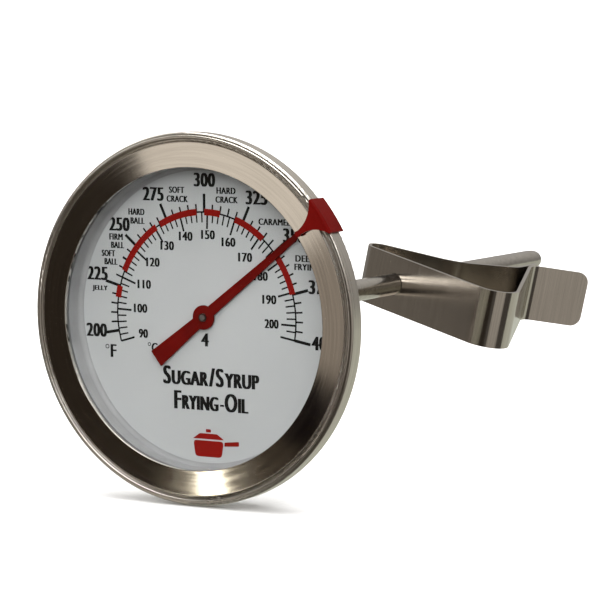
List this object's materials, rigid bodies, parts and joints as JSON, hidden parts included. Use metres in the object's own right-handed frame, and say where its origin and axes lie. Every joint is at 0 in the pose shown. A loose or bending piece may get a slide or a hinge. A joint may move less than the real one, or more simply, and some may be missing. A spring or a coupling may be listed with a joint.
{
  "type": "dial thermometer",
  "caption": "Bimetal dial thermometer: a round steel head with a glass window, red pointer and red set marker, on a thin stem with a sliding spring clip.",
  "frame": {"origin": "on the stem's axis, where the bare stem leaves its ferrule behind the case", "axes": "+Y along the stem towards its tip, the dial faces -Y, and its lettering is upright along +Z"},
  "size_m": [0.062, 0.1303, 0.062],
  "materials": {
    "stainless": "satin",
    "clip_steel": "brushed along the strip",
    "pin_steel": "dark turned",
    "window_glass": "clear",
    "gasket_rubber": "matte",
    "ring_plastic": "satin",
    "dial_enamel": "satin, printed scale",
    "guide_brass": "turned",
    "bimetal": "plain",
    "pointer_red": "satin",
    "marker_red": "satin"
  },
  "bodies": {
    "thermometer": {"bezel": "stainless", "lens": "window_glass", "lens_gasket": "gasket_rubber", "dial_ring": "ring_plastic", "dial_plate": "dial_enamel", "case_back": "stainless", "stem_ferrule": "stainless", "case_nut": "stainless", "stem_tube": "stainless", "stem_tip": "stainless", "upper_guide": "guide_brass", "middle_guide": "guide_brass", "lower_guide": "guide_brass", "bimetal_coil": "bimetal", "coil_anchor": "guide_brass"},
    "movement": {"pointer_shaft": "stainless", "pointer_bush": "pin_steel", "pointer": "pointer_red", "coil_collar": "guide_brass"},
    "marker": {"set_marker": "marker_red"},
    "clip": {"pan_clip": "clip_steel"}
  },
  "joints": [
    {"name": "pointer_turn", "type": "hinge", "parent": "thermometer", "child": "movement", "pos_m": [0, 0, 0], "axis": [0, 1, 0], "range_deg": [-285, 60], "stiffness_Nm_per_rad": 0.001},
    {"name": "marker_turn", "type": "hinge", "parent": "thermometer", "child": "marker", "pos_m": [0, 0, 0], "axis": [0, 1, 0], "continuous": true},
    {"name": "clip_slide", "type": "slide", "parent": "thermometer", "child": "clip", "axis": [0, 1, 0], "range_m": [-0.05, 0.045]}
  ]
}
